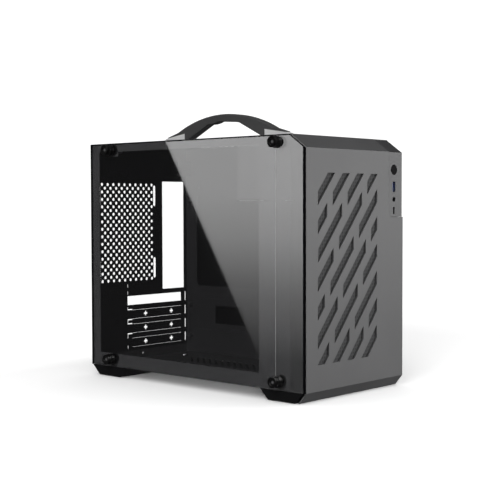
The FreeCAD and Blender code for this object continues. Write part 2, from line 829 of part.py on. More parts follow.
def make_rear_wall():
    """The rear wall with board aperture, card slots, break-out covers and stamped fan vents."""
    wall = Piece("rear_panel")
    wall.pad("XZ", "rear_inner", "rear_outer",
             Rectangle("chassis_left", "floor_top", "chassis_right", "roof_bottom"))
    wall.pad("YZ", "slot_left - 2 * sheet", "slot_left - sheet",
             Rectangle("rear_inner", "ledge_low", "rear_outer + ledge_reach", "ledge_high"))
    screw = wall.pocket("YZ", "slot_left - 2 * sheet", "slot_left - sheet",
                        Circle("rear_outer + ledge_reach / 2", "slot_first_z", "ledge_hole_radius"))
    wall.repeat(screw, up=("slot_pitch", "4", "down"))

    aperture = Rectangle("aperture_left", "aperture_low", "aperture_left + aperture_width",
                         "aperture_low + aperture_height")
    open_slot = Rectangle("slot_left", "slot_first_z - slot_height / 2", "slot_right",
                          "slot_first_z + slot_height / 2")
    inlet = Rectangle("inlet_x - inlet_width / 2", "inlet_z - inlet_height / 2",
                      "inlet_x + inlet_width / 2", "inlet_z + inlet_height / 2")
    fan_slots = []
    for side in "+-":
        middle = "fan_x %s fan_spacing / 2" % side
        for end in "+-":
            height = "fan_z %s fan_spacing / 2" % end
            fan_slots.append(Rounded(
                middle + " - fan_slot_width / 2", height + " - fan_travel / 2",
                middle + " + fan_slot_width / 2", height + " + fan_travel / 2",
                "fan_slot_width * 0.45"))
    screws = [Circle("shield_screw_x", "shield_screw_z", "side_screw_radius + thread_play"),
              Circle("wall_hole_x", "wall_hole_z", "wall_hole_radius")]
    for height in ("side_tab_low", "side_tab_high"):
        screws.append(Circle("case_width - side_tab / 2", height + " + side_tab_height / 2",
                             "side_screw_radius + thread_play"))
    perforations = [Rectangle("slot_left", low, "slot_left + hook_width", low + " + perforation_length")
                    for low in ("perforation_low", "perforation_high", "ledge_low + 1.5")]
    wall.pocket("XZ", "rear_inner", "rear_outer", aperture, open_slot, inlet, *fan_slots, *screws,
                *perforations)

    cover_low = "slot_first_z - slot_pitch - slot_height / 2"
    cover_high = "slot_first_z - slot_pitch + slot_height / 2"
    slits = wall.pocket(
        "XZ", "rear_inner", "rear_outer",
        Rectangle("slot_left + cover_inset", cover_low, "slot_right", cover_low + " + cover_slit"),
        Rectangle("slot_left + cover_inset", cover_high + " - cover_slit", "slot_right", cover_high),
        cross("cross_left", "slot_first_z - slot_pitch", "cross_span", "cross_arm"),
        cross("cross_right", "slot_first_z - slot_pitch", "cross_span", "cross_arm"))
    wall.repeat(slits, up=("slot_pitch", "3", "down"))
    tongue = wall.pocket(
        "XZ", "rear_inner", "rear_outer",
        Rectangle("tongue_slit_x", "slot_first_z - slot_height / 2",
                  "tongue_slit_x + tongue_slit_width", "slot_first_z + slot_height / 2"))
    wall.repeat(tongue, up=("slot_pitch", "4", "down"))

    hooks = []
    for turn in range(3):
        high = "slot_first_z - slot_height / 2 - slot_pitch * %d" % turn
        low = high + " - slot_pitch + slot_height"
        if turn == 0:
            high += " - 2 * hook_width"
        stem_right = "slot_left + hook_width"
        arm_right = "slot_left + hook_arm"
        points = [("slot_left", high)]
        if turn < 2:
            points += [("slot_left", low), (arm_right, low), (arm_right, low + " + hook_width"),
                       (stem_right, low + " + hook_width")]
        else:
            points += [("slot_left", low), (stem_right, low)]
        if turn == 0:
            points.append((stem_right, high))
        else:
            points += [(stem_right, high + " - hook_width"), (arm_right, high + " - hook_width"),
                       (arm_right, high)]
        hooks.append(Polygon(*points))
    last = "slot_first_z - 3 * slot_pitch"
    hooks.append(Rectangle("slot_left + cover_inset", last + " - slot_height / 2 + 2 * cover_slit",
                           "slot_left + cover_inset + cover_slit",
                           last + " + slot_height / 2 - 2 * cover_slit"))
    wall.pocket("XZ", "rear_inner", "rear_outer", *hooks)

    left = "fan_x - mesh_pitch_x * (mesh_columns - 1) / 2"
    low = "fan_z - mesh_pitch_z * (mesh_rows - 1) / 2"
    straight = wall.pocket("XZ", "rear_inner", "rear_outer", hexagon(left, low, "mesh_hole_radius"))
    wall.repeat(straight, across=("mesh_pitch_x", "mesh_columns"), up=("mesh_pitch_z", "mesh_rows"))
    between = wall.pocket(
        "XZ", "rear_inner", "rear_outer",
        hexagon(left + " + mesh_pitch_x / 2", low + " + mesh_pitch_z / 2", "mesh_hole_radius"))
    wall.repeat(between, across=("mesh_pitch_x", "mesh_columns - 1"),
                up=("mesh_pitch_z", "mesh_rows - 1"))


STANDOFF_DEPTHS = ["11.7", "166.6", "238.5"]
STANDOFF_HEIGHTS = ["40.8", "86.5", "244.0"]


def make_tray():
    """The board tray with its cooler cut-out, cable hatch, ribs and brass standoffs."""
    tray = Piece("motherboard_tray")
    rear_edge = "rear_inner - sheet - edge_gap / 2"
    cooler = Rounded("cutout_front", "cutout_low", "cutout_rear", "cutout_high", "cutout_corner")
    hatch = Rounded("hatch_front", "hatch_low", "hatch_rear", "hatch_high", "cutout_corner / 3")
    tie = Rounded("cutout_rear - 32", "cutout_high + 8.5", "cutout_rear - 4.5", "cutout_high + 13",
                  "edge_gap * 3")
    cable = Rounded("cable_front", "cable_low", "cable_rear", "cable_high", "cutout_corner")
    tray.pad("YZ", "tray_face", "tray_face + sheet",
             Rectangle("frame_back + sheet + edge_gap", "floor_top + edge_gap", rear_edge,
                       "roof_bottom - edge_gap"),
             cooler, hatch, tie, cable)
    tray.pad("YZ", "tray_face + sheet", "tray_face + flange_height",
             Rectangle("rear_inner - 2 * sheet - edge_gap / 2", "wall_low", rear_edge, "wall_high"))
    for height in ("hatch_high + 7", "hatch_low - 13"):
        tray.pad("YZ", "tray_face - tray_rib", "tray_face",
                 Rectangle("cutout_front - 60", height, "cutout_rear - 4.5", height + " + 3"))

    posts = []
    for depth in STANDOFF_DEPTHS:
        for height in STANDOFF_HEIGHTS:
            at = ("tray_face - standoff_height", "rear_inner - " + depth, height)
            hexagonal = prism("standoff_body", "X", at, "standoff_height", "standoff_radius", "6")
            bore = rod("standoff_bore", "X", at, "standoff_height", "standoff_bore")
            posts.append(subtract("standoff", hexagonal, bore))
    finish(join("standoff_set", posts), "motherboard_standoffs")


def make_front_frame():
    """The steel frame behind the moulded front, with a fan opening and a supply window."""
    frame = Piece("front_frame")
    fan_holes = [Circle("front_fan_x %s fan_spacing / 2" % side, "front_fan_z %s fan_spacing / 2" % end,
                        "fan_hole_radius") for side in "+-" for end in "+-"]
    clip_holes = [square(x, z, "clip_size / 2 + fit_gap") for x, z in clip_points()]
    frame.pad("XZ", "frame_front", "frame_back",
              Rectangle("chassis_left", "floor_top", "chassis_right", "roof_bottom"),
              Circle("front_fan_x", "front_fan_z", "front_fan_radius"),
              Rounded("supply_left", "supply_low", "supply_right", "supply_high", "cutout_corner"),
              *fan_holes, *clip_holes)
    frame.pad("XZ", "frame_back", "frame_back + post_flange",
              Rectangle("chassis_left", "wall_low", "chassis_left + sheet", "wall_high"),
              Rectangle("chassis_right - sheet", "wall_low", "chassis_right", "wall_high"))


def clip_points():
    """Where the front's push-in clips sit, seen from the front."""
    return [("clip_left", "clip_low"), ("clip_left", "clip_middle"), ("clip_left", "clip_high"),
            ("clip_right", "clip_low"), ("clip_right", "clip_middle"),
            ("clip_upper_right", "clip_high")]


def square(across, up, half):
    """A square outline about a centre."""
    return Rectangle("%s - (%s)" % (across, half), "%s - (%s)" % (up, half),
                     "%s + (%s)" % (across, half), "%s + (%s)" % (up, half))


def make_front_grille():
    """The sheared blocks that cut the slanted slots, trimmed to the grille's window."""
    cutters = []
    for band, start in enumerate(BRIDGE_STARTS):
        foot = "band_first - band_pitch * %d" % band
        for turn in range(-1, 3):
            left = "%g + bridge + bridge_period * %d" % (start, turn)
            right = left + " + slot_run"
            if value(right) < value("grille_left") or value(left) > value("grille_right"):
                continue
            low_end = "%s + band_slope * (%s)" % (foot, right)
            high_end = "%s + band_slope * (%s)" % (foot, left)
            if value(low_end) + value("band_height") < value("grille_low"):
                continue
            if value(high_end) > value("grille_high"):
                continue
            slot = DOC.addObject("Part::Wedge", "slot_cutter")
            turned = FreeCAD.Rotation(FreeCAD.Vector(0, 0, 1), -90)
            slot.Placement = FreeCAD.Placement(FreeCAD.Vector(), turned)
            bind(slot, "Ymin", left)
            bind(slot, "Ymax", right)
            for prefix, edge in (("Z", left), ("Z2", right)):
                height = "%s + band_slope * (%s)" % (foot, edge)
                bind(slot, prefix + "min", height)
                bind(slot, prefix + "max", height + " + band_height")
            for prefix in ("X", "X2"):
                bind(slot, prefix + "min", "-panel_wall - edge_gap")
                bind(slot, prefix + "max", "edge_gap")
            cutters.append(slot)
    window = block("grille_window", ("grille_left", "-1", "grille_low"),
                   ("grille_right", "panel_wall + 1", "grille_high"))
    trimmed = DOC.addObject("Part::Common", "grille_cutter")
    trimmed.Base = join("slot_cutters", cutters)
    trimmed.Tool = window
    return trimmed


def quarter(left, low, radius):
    """Points along a rounded lower left corner, from its left side to its low side."""
    points = []
    for step in range(6):
        turn = "(%g)" % (step * 18.0)
        points.append(("%s + %s * (1 - cos(%s))" % (left, radius, turn),
                       "%s + %s * (1 - sin(%s))" % (low, radius, turn)))
    return points


def make_front_panel():
    """The moulded front: bevelled shell, toe down to the floor, bosses and slanted grille."""
    shell = Piece("front_shell", finished=False)
    shell.pad("YZ", "panel_left", "case_width",
              Polygon(("0", "leg_height"), ("panel_depth", "leg_height"),
                      ("panel_depth", "case_height"), ("bevel_depth", "case_height"),
                      ("0", "case_height - bevel_height")))
    bevel = "case_height - bevel_height - panel_wall * bevel_inset"
    shell.pocket("YZ", "panel_left + panel_wall", "case_width - panel_wall",
                 Polygon(("panel_wall", "leg_height + panel_wall"),
                         ("panel_depth", "leg_height + panel_wall"),
                         ("panel_depth", bevel + " + panel_depth * bevel_slope"),
                         ("panel_wall", bevel + " + panel_wall * bevel_slope")))
    shell.pad("YZ", "panel_left", "case_width",
              Polygon(("0", "leg_height"), ("toe_depth - toe_lift", "toe_lift"),
                      ("toe_depth - toe_lift + toe_wall", "toe_lift"), ("toe_wall", "leg_height")))
    bosses = [square(x, z, "boss_size / 2") for x, z in clip_points()]
    shell.pad("XZ", "panel_wall", "boss_end", *bosses)
    shell.pocket("XZ", "0", "panel_depth",
                 Polygon(*quarter("strip_left", "strip_low", "strip_corner"),
                         ("case_width", "strip_low"),
                         ("case_width", "case_height"), ("strip_left", "case_height")))
    finish(subtract("front_cut", shell.body, make_front_grille()), "front_panel")

    clips = [block("clip", (x + " - clip_size / 2", "boss_end", z + " - clip_size / 2"),
                   (x + " + clip_size / 2", "frame_front + clip_reach", z + " + clip_size / 2"))
             for x, z in clip_points()]
    finish(join("clip_set", clips), "front_panel_clips")

    mesh = Piece("front_filter")
    mesh.pad("XZ", "panel_wall", "panel_wall + filter_thick",
             Rounded("grille_left - filter_margin", "grille_low - filter_margin",
                     "grille_right + filter_margin", "grille_high + filter_margin",
                     "filter_margin / 2"))


def make_strip():
    """The connector strip that wraps the front's upper right corner."""
    strip = Piece("io_strip")
    left = "strip_left + fit_gap"
    right = "case_width - strip_recess"
    low = "strip_low + fit_gap"
    outer = "case_height - bevel_height - strip_recess * bevel_inset"
    inner = "case_height - bevel_height - strip_back * bevel_inset"
    strip.pad("YZ", left, right,
              Polygon(("strip_recess", low), ("panel_depth", low),
                      ("panel_depth", outer + " + panel_depth * bevel_slope"),
                      ("strip_recess", outer + " + strip_recess * bevel_slope")))
    strip.pocket("YZ", left, right + " - strip_wall",
                 Polygon(("strip_back", low + " + strip_wall"), ("panel_depth", low + " + strip_wall"),
                         ("panel_depth", inner + " + panel_depth * bevel_slope"),
                         ("strip_back", inner + " + strip_back * bevel_slope")))
    strip.pocket("XZ", "strip_recess", "panel_depth",
                 Polygon((left, low), *quarter(left, low, "strip_corner")[::-1]))
    studs = [Rectangle("board_right", z + " - stud_size / 2", "board_right + stud_size",
                       z + " + stud_size / 2") for z in ("stud_low_z", "stud_high_z")]
    strip.pad("XZ", "strip_back", "strip_back + stud_length", *studs)
    strip.pocket("XZ", "strip_recess", "strip_back",
                 Circle("port_x", "button_z", "button_radius + fit_gap"),
                 Rectangle("port_x - usb_a_width / 2 - fit_gap", "usb_a_z - usb_a_height / 2 - fit_gap",
                           "port_x + usb_a_width / 2 + fit_gap", "usb_a_z + usb_a_height / 2 + fit_gap"),
                 Circle("port_x", "jack_z", "jack_radius + fit_gap"),
                 Rounded("port_x - usb_c_width / 2 - fit_gap", "usb_c_z - usb_c_height / 2 - fit_gap",
                         "port_x + usb_c_width / 2 + fit_gap", "usb_c_z + usb_c_height / 2 + fit_gap",
                         "usb_c_width * 0.45"))


def make_ports():
    """The button, its switch, the connectors and the small board that carries them."""
    cap = rod("button_cap", "Y", ("port_x", "strip_recess - button_proud", "button_z"),
              "button_proud + strip_wall + fit_gap", "button_radius")
    seat = ("port_x", "strip_back + fit_gap", "button_z")
    lip = prism("button_lip", "Y", seat, "button_lip_thick", "button_radius + button_lip", "rim_flats")
    stem = prism("button_stem", "Y", seat, "button_length - strip_wall - fit_gap",
                 "button_radius * 0.4", "6")
    finish(join("button_forms", [cap, lip, stem]), "power_button")

    switch = Piece("power_switch")
    start = "strip_recess + button_length + button_travel + fit_gap"
    switch.pad("XZ", start + " + 1", "board_rear - 1",
               Rectangle("board_right", "button_z - 5", "port_x + 4", "button_z + 5"))
    switch.pad("XZ", start, start + " + 1", Circle("port_x", "button_z", "2"))

    low = "usb_a_z - usb_a_height / 2"
    high = "usb_a_z + usb_a_height / 2"
    near = "port_x - usb_a_width / 2"
    far = "port_x + usb_a_width / 2"
    shell = Piece("usb_a_shell")
    shell.pad("XZ", "strip_recess + fit_gap", "strip_recess + usb_a_depth",
              Rectangle(near, low, far, high))
    shell.pocket("XZ", "strip_recess + fit_gap", "strip_recess + usb_a_depth - shell_wall",
                 Rectangle(near + " + shell_wall", low + " + shell_wall",
                           far + " - shell_wall", high + " - shell_wall"))
    tongue = Piece("usb_a_tongue")
    tongue.pad("XZ", "strip_recess + tongue_inset", "strip_recess + usb_a_depth - shell_wall",
               Rectangle(near + " + 2 * shell_wall", low + " + 2 * shell_wall",
                         near + " + 2 * shell_wall + tongue_thick", high + " - 2 * shell_wall"))

    jack = Piece("audio_jack")
    jack.pad("XZ", "strip_back + fit_gap", "strip_recess + usb_a_depth",
             Rectangle("board_right", "jack_z - jack_size / 2", "board_right + jack_size",
                       "jack_z + jack_size / 2"))
    jack.pad("XZ", "strip_recess + fit_gap / 2", "strip_back + fit_gap",
             Circle("port_x", "jack_z", "jack_radius"))
    jack.pocket("XZ", "strip_recess + fit_gap / 2", "strip_recess + usb_a_depth - 2",
                Circle("port_x", "jack_z", "jack_bore"))

    slim = Piece("usb_c_shell")
    edges = ("port_x - usb_c_width / 2", "usb_c_z - usb_c_height / 2",
             "port_x + usb_c_width / 2", "usb_c_z + usb_c_height / 2")
    inside = [edge + sign + "shell_wall" for edge, sign in zip(edges, (" + ", " + ", " - ", " - "))]
    slim.pad("XZ", "strip_recess + fit_gap", "strip_recess + usb_a_depth / 2",
             Rounded(*edges, "usb_c_width * 0.45"))
    slim.pad("XZ", "strip_recess + usb_a_depth / 2", "strip_recess + usb_a_depth * 0.8",
             Rectangle("board_right", edges[1], edges[2], edges[3]))
    slim.pocket("XZ", "strip_recess + fit_gap", "strip_recess + usb_a_depth / 2 - shell_wall",
                Rounded(*inside, "usb_c_width * 0.3"))
    blade = Piece("usb_c_tongue")
    blade.pad("XZ", "strip_recess + tongue_inset", "strip_recess + usb_a_depth / 2 - shell_wall",
              Rectangle("port_x - shell_wall", "usb_c_z - usb_c_height / 3",
                        "port_x + shell_wall", "usb_c_z + usb_c_height / 3"))

    board = Piece("io_board")
    studs = [Circle("strip_back + stud_length / 2", z, "small_screw_radius + fit_gap")
             for z in ("stud_low_z", "stud_high_z")]
    board.pad("YZ", "board_left", "board_right",
              Rectangle("board_front", "board_low", "board_rear", "board_high"), *studs)
    screws = []
    for z in ("stud_low_z", "stud_high_z"):
        screws += fastener("board_screw", "X", ("board_left", "strip_back + stud_length / 2", z),
                           "board_thick", "small_screw_radius", "small_head", "small_head_radius")
    finish(join("board_screws", screws), "io_board_screws")


def make_supply_bracket():
    """The bracket that holds the power supply behind the upper front."""
    bracket = Piece("psu_bracket")
    front = "knob_front_y + post_radius + edge_gap"
    right = "tray_face - fit_gap"
    window = Rounded("chassis_left + supply_margin", "frame_back + sheet + supply_edge",
                     "tray_face - supply_margin", "bracket_rear - supply_edge", "cutout_corner / 2")
    middle = ("(chassis_left + tray_face) / 2", "(frame_back + bracket_rear) / 2")
    holes = [Circle("%s %s supply_spacing_x / 2" % (middle[0], side),
                    "%s %s supply_spacing_y / 2" % (middle[1], end), "fan_hole_radius")
             for side in "+-" for end in "+-"]
    bracket.pad("XY", "bracket_z", "bracket_z + sheet",
                Rectangle("chassis_left + sheet + fit_gap", "frame_back + fit_gap", right, "bracket_rear"),
                window, *holes)
    bracket.pad("YZ", "chassis_left", "chassis_left + sheet",
                Rectangle(front, "bracket_z", "bracket_rear", "bracket_top"))
    bracket.pad("YZ", "chassis_left + sheet", "chassis_left + sheet + fit_gap",
                Rectangle(front, "bracket_z", "bracket_rear", "bracket_z + sheet"))
    bracket.pad("YZ", right + " - sheet", right,
                Rectangle(front, "bracket_z + sheet", "bracket_rear", "bracket_top"))


def make_drive_bracket():
    """The stamped carrier for a small drive, on the cable side of the tray."""
    bracket = Piece("drive_bracket")
    face = "tray_face + sheet"
    raised = face + " + drive_lift"
    middle = ("(drive_front + drive_rear) / 2", "(drive_low + drive_high) / 2")
    holes = [Circle("%s %s drive_spacing_y / 2" % (middle[0], side),
                    "%s %s drive_spacing_z / 2" % (middle[1], end), "drive_hole_radius")
             for side in "+-" for end in "+-"]
    bracket.pad("YZ", raised, raised + " + sheet",
                Rectangle("drive_front", "drive_low", "drive_rear", "drive_high"),
                Rounded("drive_front + 26", "drive_low + 18", "drive_rear - 26", "drive_high - 18",
                        "cutout_corner / 2"), *holes)
    for start, end in (("drive_front", "drive_front + sheet"), ("drive_rear - sheet", "drive_rear")):
        bracket.pad("YZ", face, raised, Rectangle(start, "drive_low", end, "drive_high"))
    for start, end in (("drive_front - drive_foot", "drive_front"),
                       ("drive_rear", "drive_rear + drive_foot")):
        bracket.pad("YZ", face, face + " + sheet", Rectangle(start, "drive_low", end, "drive_high"))


def make_steel_side():
    """The sliding steel side with its rear tabs and the two knobs that lock it."""
    side = Piece("right_side_panel")
    front = "panel_depth + edge_gap"
    side.pad("YZ", "side_face", "case_width",
             Rectangle(front, "glass_low", "rear_outer + fit_gap", "glass_top"))
    for height in ("side_tab_low", "side_tab_high"):
        side.pad("XZ", "rear_outer + fit_gap", "rear_outer + fit_gap + sheet",
                 Rectangle("case_width - side_tab", height, "case_width", height + " + side_tab_height"),
                 Circle("case_width - side_tab / 2", height + " + side_tab_height / 2",
                        "side_screw_radius + fit_gap"))
        at = ("case_width - side_tab / 2", "rear_outer + fit_gap + sheet",
              height + " + side_tab_height / 2")
        rims = [("fit_gap / 2", "side_knob_length / 3", "side_knob_radius"),
                ("side_knob_length / 2", "side_knob_length", "side_knob_radius")]
        knob = knurled("side_knob", "Y", at, rims, "side_knob_radius - knob_neck / 2",
                       "(-2 * sheet - fit_gap - 4)", "2 * sheet + fit_gap + 5", "side_screw_radius")
        finish(knob, "side_thumbscrew_" + ("lower" if height == "side_tab_low" else "upper"))


def make_slot_shield():
    """The bent cover over the card-slot screws on the rear wall, and its screw."""
    shield = Piece("slot_shield")
    wall_right = "shield_wall + sheet"
    shield.pad("XZ", "rear_outer", "rear_outer + sheet",
               Rectangle("shield_left", "ledge_low", wall_right, "ledge_high"),
               Circle("shield_screw_x", "shield_screw_z", "side_screw_radius + fit_gap"))
    shield.pad("XZ", "rear_outer + sheet", "shield_rear - sheet",
               Rectangle("shield_wall", "ledge_low", wall_right, "ledge_high"))
    shield.pad("XZ", "shield_rear - sheet", "shield_rear",
               Rectangle("shield_wall", "ledge_low", "slot_left", "ledge_high"))
    at = ("shield_screw_x", "rear_outer + sheet", "shield_screw_z")
    screw = fastener("shield_screw", "Y", at, "2 * sheet + 3", "side_screw_radius", "screw_head",
                     "side_screw_radius * 2", True)
    finish(join("shield_screw_forms", screw), "slot_shield_screw")


def make_inlet():
    """The mains inlet high on the rear wall, with its three blades."""
    housing = Piece("power_inlet")
    left = "inlet_x - inlet_width / 2"
    right = "inlet_x + inlet_width / 2"
    low = "inlet_z - inlet_height / 2"
    high = "inlet_z + inlet_height / 2"
    housing.pad("XZ", "rear_outer", "rear_outer + inlet_flange",
                Rectangle(left + " - inlet_flange", low + " - inlet_flange",
                          right + " + inlet_flange", high + " + inlet_flange"))
    housing.pad("XZ", "rear_outer - inlet_depth", "rear_outer",
                Rectangle(left + " + thread_play", low + " + thread_play",
                          right + " - thread_play", high + " - thread_play"))
    housing.pocket("XZ", "rear_outer - inlet_depth + inlet_wall", "rear_outer + inlet_flange",
                   Polygon((left + " + inlet_wall", low + " + inlet_wall"),
                           (right + " - inlet_wall", low + " + inlet_wall"),
                           (right + " - inlet_wall", high + " - 5"),
                           (right + " - 5", high + " - inlet_wall"),
                           (left + " + 5", high + " - inlet_wall"),
                           (left + " + inlet_wall", high + " - 5")))
    start = "rear_outer - inlet_depth + inlet_wall"
    blades = []
    for x, z in (("inlet_x - 7", "inlet_z - 2"), ("inlet_x", "inlet_z + 2"), ("inlet_x + 7", "inlet_z - 2")):
        blades.append(block("blade", (x + " - blade_thick / 2", start, z + " - blade_width / 2"),
                            (x + " + blade_thick / 2", "rear_outer - 3", z + " + blade_width / 2")))
    finish(join("blade_set", blades), "inlet_blades")


# The grip's underside from the rear end to the front end, along Y from its middle and down from
# its crest: straight shoulders, a shallow arch between them and one low ridge for the fingers.
GRIP_UNDERSIDE = [
    ("68", "31.8"), ("29.5", "12.7"), ("23", "12.6"), ("15.5", "11.3"), ("10", "9.4"), ("0", "10.1"),
    ("-15", "11"), ("-29.2", "12.8"), ("-68", "31.8"),
]


def handle_screw_points():
    """Where the four handle screws pass through the roof, seen from above."""
    return [("handle_x", "handle_y %s (%s)" % (end, reach)) for end in "+-"
            for reach in ("handle_screw_reach", "handle_screw_reach + handle_screw_step")]


def is_grip_crest(edge):
    """The two long edges along the crest of the grip."""
    middle = edge.valueAt((edge.FirstParameter + edge.LastParameter) / 2)
    crest = value("handle_top")
    return abs(middle.z - crest) < 0.5 and abs(middle.y) < 0.5 and edge.Length > value("grip_half")


def make_handle():
    """The arched grip, its two end mounts and the screws from inside the roof."""
    grip = Piece("handle_grip", at=("0", "handle_y", "0"))
    butt = "case_height + sheet"
    underside = [("mount_inner", butt)]
    for away, drop in GRIP_UNDERSIDE:
        underside.append((away, "handle_top - " + drop))
    underside.append(("-mount_inner", butt))
    rear = [("mount_inner", "mount_top"), ("tail_half", "mount_toe + 0.8"),
            ("tail_half", "mount_toe + tail_thick")]
    front = [("-" + away, height) for away, height in rear[::-1]]
    rise = "(handle_top - grip_end_height)"
    radius = "(((grip_half)^2 + %s^2) / (2 * %s))" % (rise, rise)
    arch = grip.pad("YZ", "handle_left", "handle_right",
                    Arched(("0", "handle_top - " + radius), radius, ("grip_half", "grip_end_height"),
                           ("-grip_half", "grip_end_height"), *front, *underside[::-1], *rear))
    grip.bevel_edges(arch, "grip_bevel", is_grip_crest)

    for name, sign in (("front", "-"), ("rear", "")):
        mount = Piece("handle_mount_" + name, at=("0", "handle_y", "0"))
        mount.pad("YZ", "handle_left", "handle_right",
                  Polygon((sign + "mount_inner", "case_height"), (sign + "mount_half", "case_height"),
                          (sign + "mount_half", "case_height + 1.5"),
                          (sign + "mount_knee", "mount_toe"), (sign + "mount_inner", "mount_top")))
        bores = [Circle("handle_x", sign + "(%s)" % reach, "handle_screw_radius + thread_play")
                 for reach in ("handle_screw_reach", "handle_screw_reach + handle_screw_step")]
        mount.pocket("XY", "case_height", "case_height + screw_bite", *bores)
    screws = []
    for x, y in handle_screw_points():
        screws += fastener("handle_screw", "Z", (x, y, "roof_bottom"), "sheet + screw_bite - fit_gap",
                           "handle_screw_radius", "screw_head", "handle_screw_radius * 1.9")
    finish(join("handle_screw_set", screws), "handle_screws")


FOOT_BARS = {
    "front": ("front_foot_start", "front_foot_top", "front_foot_heel", "front_foot_end"),
    "rear": ("rear_foot_start", "rear_foot_end", "rear_foot_low_start", "rear_foot_low_end"),
}


def foot_screw_points(name):
    """Where the two screws of a foot bar pass through the floor, seen from above."""
    middle = "(%s + %s) / 2" % FOOT_BARS[name][2:]
    return [("frame_left + foot_screw_inset", middle), ("chassis_right - foot_screw_inset", middle)]


def make_feet():
    """Two moulded foot bars across the case, with rubber pads and screws."""
    pads = []
    screws = []
    for name, (start, end, low_start, low_end) in FOOT_BARS.items():
        foot = Piece("foot_bar_" + name)
        foot.pad("YZ", "foot_side_inset", "case_width - foot_side_inset",
                 Polygon((start, "leg_height"), (low_start, "foot_lift"), (low_end, "foot_lift"),
                         (end, "leg_height")))
        middle = "(%s + %s) / 2" % (low_start, low_end)
        for left in ("foot_side_inset + pad_inset", "case_width - foot_side_inset - pad_inset - pad_width"):
            edges = (left, middle + " - pad_length / 2", left + " + pad_width",
                     middle + " + pad_length / 2")
            foot.pocket("XY", "foot_lift", "foot_lift + pad_sink", Rectangle(*edges))
            pads.append(block("pad", (edges[0] + " + fit_gap", edges[1] + " + fit_gap", "0"),
                              (edges[2] + " - fit_gap", edges[3] + " - fit_gap", "foot_lift + pad_sink")))
        for x, y in foot_screw_points(name):
            foot.pocket("XY", "leg_height - screw_bite", "leg_height",
                        Circle(x, y, "handle_screw_radius + thread_play"))
            screws += fastener("foot_screw", "Z", (x, y, "floor_top"), "sheet + screw_bite - fit_gap",
                               "handle_screw_radius", "screw_head", "handle_screw_radius * 1.9", True)
    finish(join("pad_set", pads), "foot_pads")
    finish(join("foot_screw_set", screws), "foot_screws")


def check(objects):
    """Stops if a feature failed, a cut removed nothing or a piece is not sound."""
    for thing in objects:
        if "Invalid" in thing.State or "Error" in thing.State:
            raise RuntimeError("failed: %s %s" % (thing.Label, thing.State))
        if thing.TypeId == "PartDesign::Pocket":
            if thing.Shape.Volume > thing.BaseFeature.Shape.Volume - 1e-3:
                raise RuntimeError("cuts nothing: " + thing.Label)
    for thing in FINISHED:
        if thing.Shape.isNull() or not thing.Shape.isValid():
            raise RuntimeError("not a sound shape: " + thing.Label)


make_glass_side()
make_side_frame()
make_floor()
make_roof()
make_rear_wall()
make_tray()
make_front_frame()
make_front_panel()
make_strip()
make_ports()
make_supply_bracket()
make_drive_bracket()
make_steel_side()
make_slot_shield()
make_inlet()
make_handle()
make_feet()
DOC.recompute()
check(DOC.Objects)

os.makedirs("parts", exist_ok=True)
for thing in FINISHED:
    thing.Shape.exportStep("parts/%s.step" % thing.Label)
    box = thing.Shape.BoundBox
    print("%-34s solids %2d  volume %9.0f  x %7.1f %7.1f  y %7.1f %7.1f  z %6.1f %6.1f" % (
        thing.Label, len(thing.Shape.Solids), thing.Shape.Volume,
        box.XMin, box.XMax, box.YMin, box.YMax, box.ZMin, box.ZMax))
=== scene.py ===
import json
import math

import bpy
from mathutils import Matrix, Vector


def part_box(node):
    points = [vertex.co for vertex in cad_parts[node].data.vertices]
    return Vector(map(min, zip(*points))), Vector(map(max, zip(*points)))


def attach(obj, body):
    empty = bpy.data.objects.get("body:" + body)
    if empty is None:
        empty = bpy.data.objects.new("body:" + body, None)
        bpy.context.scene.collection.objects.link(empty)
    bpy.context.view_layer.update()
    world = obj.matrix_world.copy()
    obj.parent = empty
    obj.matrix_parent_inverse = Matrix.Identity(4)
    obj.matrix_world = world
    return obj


# Looks for a compact computer case: a dark glass side, a slanted grille in front and a handle.
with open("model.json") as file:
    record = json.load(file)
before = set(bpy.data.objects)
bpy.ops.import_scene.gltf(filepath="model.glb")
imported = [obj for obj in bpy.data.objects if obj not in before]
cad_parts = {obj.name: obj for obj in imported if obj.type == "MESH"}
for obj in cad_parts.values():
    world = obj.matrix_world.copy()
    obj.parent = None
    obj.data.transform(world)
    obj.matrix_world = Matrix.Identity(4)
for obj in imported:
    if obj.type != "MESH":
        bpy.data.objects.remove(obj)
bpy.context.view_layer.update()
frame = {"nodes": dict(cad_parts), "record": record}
NODES = frame["nodes"]

MM = 0.001
GLASS_LOW, GLASS_HIGH = (Vector(corner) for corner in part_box("glass_panel"))


# Shader nodes

def node(tree, kind, **settings):
    """A new shader node with some of its properties set."""
    made = tree.nodes.new(kind)
    for name, setting in settings.items():
        setattr(made, name, setting)
    return made


def base_material(name, colour, roughness, **sockets):
    """A material with its uniform values set on the shader's own sockets."""
    material = bpy.data.materials.new(name)
    material.use_nodes = True
    tree = material.node_tree
    shader = tree.nodes["Principled BSDF"]
    shader.inputs["Base Color"].default_value = (*colour, 1)
    shader.inputs["Roughness"].default_value = roughness
    for socket, number in sockets.items():
        shader.inputs[socket.replace("_", " ")].default_value = number
    return material, tree, shader


def math_step(tree, operation, *parts):
    """The result of one sum on numbers or outputs."""
    step = node(tree, "ShaderNodeMath", operation=operation)
    for socket, part in zip(step.inputs, parts):
        if isinstance(part, (int, float)):
            socket.default_value = part
        else:
            tree.links.new(part, socket)
    return step.outputs["Value"]


def map_range(tree, source, start=0.0, end=1.0, low=0.0, high=1.0, shape="LINEAR"):
    """A value between start and end, carried over to the range from low to high."""
    made = node(tree, "ShaderNodeMapRange", interpolation_type=shape)
    limits = {"From Min": start, "From Max": end, "To Min": low, "To Max": high}
    for socket, number in limits.items():
        made.inputs[socket].default_value = number
    tree.links.new(source, made.inputs["Value"])
    return made.outputs["Result"]


